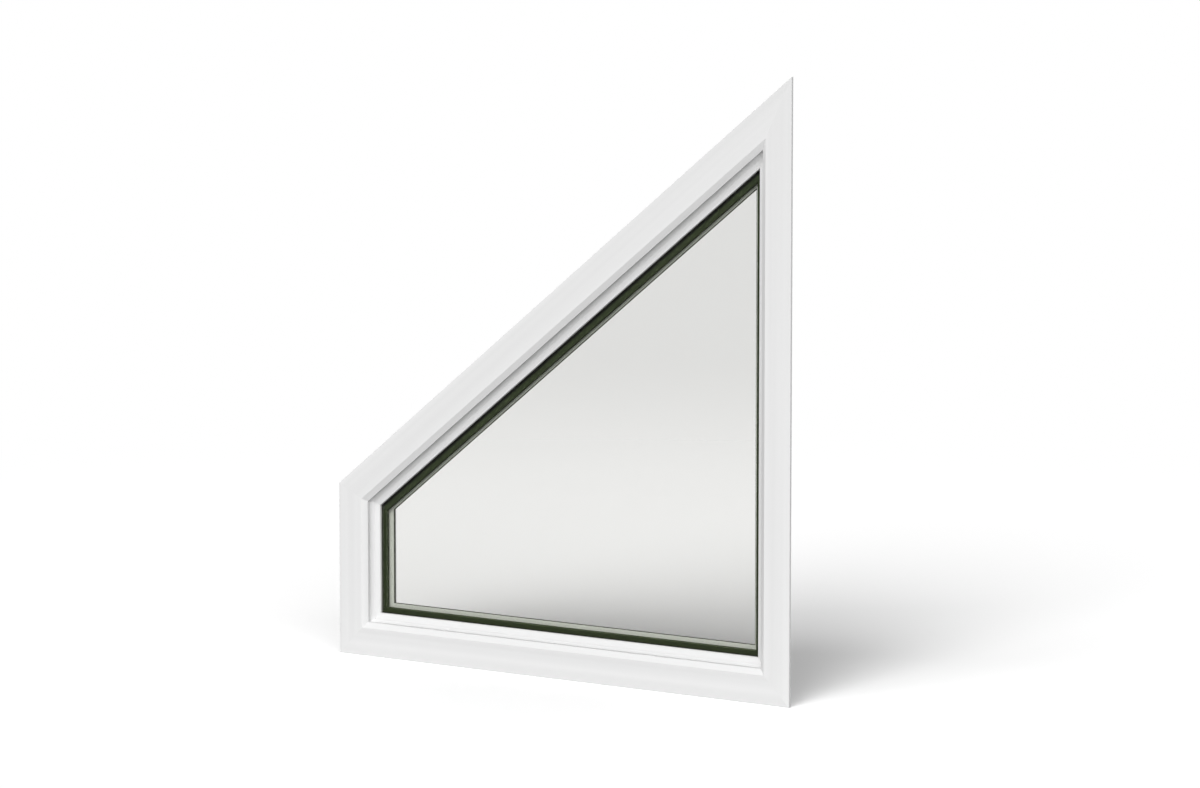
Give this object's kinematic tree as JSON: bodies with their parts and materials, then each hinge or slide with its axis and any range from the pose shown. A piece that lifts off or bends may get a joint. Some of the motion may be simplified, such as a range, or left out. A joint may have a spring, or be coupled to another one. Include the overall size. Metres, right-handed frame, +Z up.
{
  "type": "trapezoid window",
  "caption": "Fixed trapezoid window with a mitred white vinyl frame, a flat wall flange, snap-in glazing beads and a sealed double-glazed unit under a sloping head.",
  "frame": {"origin": "middle of the sill flange, on its flat back face, which lies against the wall", "axes": "+Z up, +X toward the tall jamb, +Y through the wall into the room; the outside of the window faces -Y"},
  "size_m": [0.914, 0.0718, 1.0221],
  "materials": {
    "frame_vinyl": "extruded white PVC, satin",
    "bead_vinyl": "extruded white PVC, satin",
    "gasket": "matt grey",
    "soft_lip": "soft vinyl, matt dark grey",
    "glazing_tape": "closed-cell foam tape",
    "glass": "clear float glass with a faint green tint",
    "spacer": "matt black warm-edge spacer",
    "edge_sealant": "black sealant",
    "setting_block": "matt"
  },
  "bodies": {
    "root": {"sill": "frame_vinyl", "tall_jamb": "frame_vinyl", "head": "frame_vinyl", "short_jamb": "frame_vinyl", "sill_bead": "bead_vinyl", "tall_jamb_bead": "bead_vinyl", "head_bead": "bead_vinyl", "short_jamb_bead": "bead_vinyl", "sill_gasket": "gasket", "tall_jamb_gasket": "gasket", "head_gasket": "gasket", "short_jamb_gasket": "gasket", "sill_tape": "glazing_tape", "tall_jamb_tape": "glazing_tape", "head_tape": "glazing_tape", "short_jamb_tape": "glazing_tape", "sill_lip": "soft_lip", "tall_jamb_lip": "soft_lip", "head_lip": "soft_lip", "short_jamb_lip": "soft_lip", "outer_pane": "glass", "inner_pane": "glass", "sill_spacer": "spacer", "tall_jamb_spacer": "spacer", "head_spacer": "spacer", "short_jamb_spacer": "spacer", "edge_seal": "edge_sealant", "setting_block_left": "setting_block", "setting_block_right": "setting_block", "jamb_block_tall": "setting_block", "jamb_block_short": "setting_block"}
  },
  "joints": []
}
